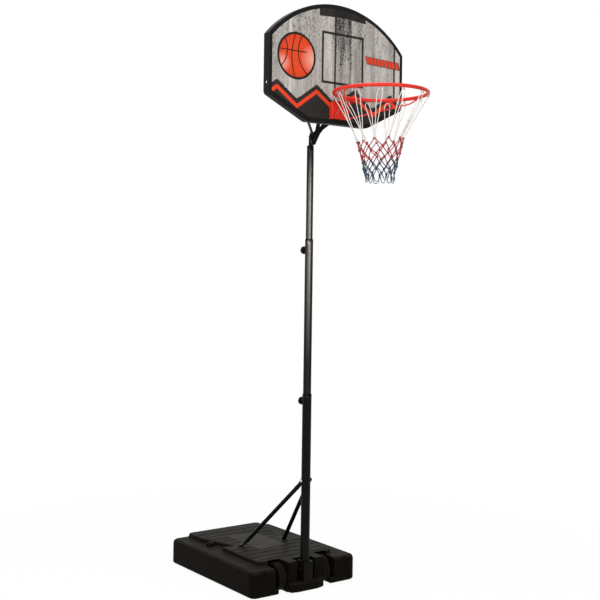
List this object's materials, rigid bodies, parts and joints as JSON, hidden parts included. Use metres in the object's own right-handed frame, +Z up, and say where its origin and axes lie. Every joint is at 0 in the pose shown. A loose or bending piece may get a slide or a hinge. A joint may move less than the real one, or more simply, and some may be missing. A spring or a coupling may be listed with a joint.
{
  "type": "basketball stand",
  "caption": "Portable junior basketball stand: wheeled ballast tank, telescoping braced pole, arched backboard on flat arms, and a red rim with a diamond net.",
  "frame": {"origin": "on the floor under the centre of the overall box; the pole's axis is the z axis", "axes": "+Z up; -Y is the front, where the rim stands out, and +Y the back, where the tank lies; the board runs along X, with +X on the right of a viewer who faces the board"},
  "size_m": [0.714, 1.3368, 2.49],
  "materials": {
    "tank_plastic": "blow-moulded, fine grain, satin",
    "plug_plastic": "moulded, satin",
    "wheel_plastic": "moulded, satin",
    "bush_plastic": "moulded, satin",
    "knob_plastic": "moulded, semi-gloss",
    "pole_paint": "black powder coat, semi-gloss",
    "frame_paint": "black powder coat, satin",
    "rim_paint": "red-orange powder coat, satin",
    "board_plastic": "moulded, satin",
    "print_film": "printed film, satin",
    "zinc_steel": "zinc plated",
    "net_cord": "braided cord"
  },
  "bodies": {
    "base": {"base_tank": "tank_plastic", "axle": "zinc_steel", "foot_sleeve": "frame_paint", "sleeve_bolt": "frame_paint", "sleeve_nut": "frame_paint", "sleeve_screw": "zinc_steel", "pole_lower": "pole_paint", "bush_lower": "bush_plastic", "knob_lower_boss": "pole_paint", "brace_left": "frame_paint", "brace_right": "frame_paint", "brace_bolt": "zinc_steel", "brace_nut": "zinc_steel", "foot_screw_left": "zinc_steel", "foot_screw_right": "zinc_steel"},
    "middle": {"pole_middle": "pole_paint", "bush_upper": "bush_plastic", "knob_upper_boss": "pole_paint"},
    "wheel_l": {"wheel_left": "wheel_plastic"},
    "wheel_r": {"wheel_right": "wheel_plastic"},
    "plug": {"filler_plug": "plug_plastic"},
    "stud_lower": {"knob_lower_stud": "zinc_steel"},
    "knob_lower": {"knob_lower_head": "knob_plastic"},
    "stud_upper": {"knob_upper_stud": "zinc_steel"},
    "knob_upper": {"knob_upper_head": "knob_plastic"},
    "upper": {"arm_bolt_back": "zinc_steel", "arm_bolt_front": "zinc_steel", "arm_inner_left": "frame_paint", "arm_inner_right": "frame_paint", "arm_nut_back": "zinc_steel", "arm_nut_front": "zinc_steel", "arm_outer_left": "frame_paint", "arm_outer_right": "frame_paint", "board_shell": "board_plastic", "head_screw": "zinc_steel", "net": "net_cord", "pole_head": "frame_paint", "pole_upper": "pole_paint", "post_screw_inner_left": "zinc_steel", "post_screw_inner_right": "zinc_steel", "post_screw_outer_left": "zinc_steel", "post_screw_outer_right": "zinc_steel", "print_sheet": "print_film", "rim_bolt_high_left": "frame_paint", "rim_bolt_high_right": "frame_paint", "rim_bolt_low_left": "frame_paint", "rim_bolt_low_right": "frame_paint", "rim_bracket": "rim_paint", "rim_nut_high_left": "zinc_steel", "rim_nut_high_right": "zinc_steel", "rim_nut_low_left": "zinc_steel", "rim_nut_low_right": "zinc_steel", "rim_ring": "rim_paint", "rim_stay_left": "rim_paint", "rim_stay_right": "rim_paint"}
  },
  "joints": [
    {"name": "pole_middle_slide", "type": "slide", "parent": "base", "child": "middle", "axis": [0, 0, 1], "range_m": [-0.2, 0.05]},
    {"name": "pole_upper_slide", "type": "slide", "parent": "middle", "child": "upper", "axis": [0, 0, 1], "range_m": [-0.3, 0.08]},
    {"name": "wheel_left_turn", "type": "hinge", "parent": "base", "child": "wheel_l", "pos_m": [0, 0.05, 0.061], "axis": [1, 0, 0], "continuous": true},
    {"name": "wheel_right_turn", "type": "hinge", "parent": "base", "child": "wheel_r", "pos_m": [0, 0.05, 0.061], "axis": [1, 0, 0], "continuous": true},
    {"name": "filler_plug_lift", "type": "slide", "parent": "base", "child": "plug", "axis": [0, 0, 1], "range_m": [0, 0.02]},
    {"name": "knob_lower_travel", "type": "slide", "parent": "base", "child": "stud_lower", "axis": [0, 1, 0], "range_m": [0, 0.0026]},
    {"name": "knob_lower_turn", "type": "hinge", "parent": "stud_lower", "child": "knob_lower", "pos_m": [0, 0.0275, 0.811], "axis": [0, 1, 0], "range_deg": [0, 720]},
    {"name": "knob_upper_travel", "type": "slide", "parent": "middle", "child": "stud_upper", "axis": [0, 1, 0], "range_m": [0, 0.0026]},
    {"name": "knob_upper_turn", "type": "hinge", "parent": "stud_upper", "child": "knob_upper", "pos_m": [0, 0.025, 1.467], "axis": [0, 1, 0], "range_deg": [0, 720]}
  ],
  "couplings": [
    {"joint": "knob_lower_travel", "follows": "knob_lower_turn", "m_per_rad": 0.00019894},
    {"joint": "knob_upper_travel", "follows": "knob_upper_turn", "m_per_rad": 0.00019894}
  ]
}
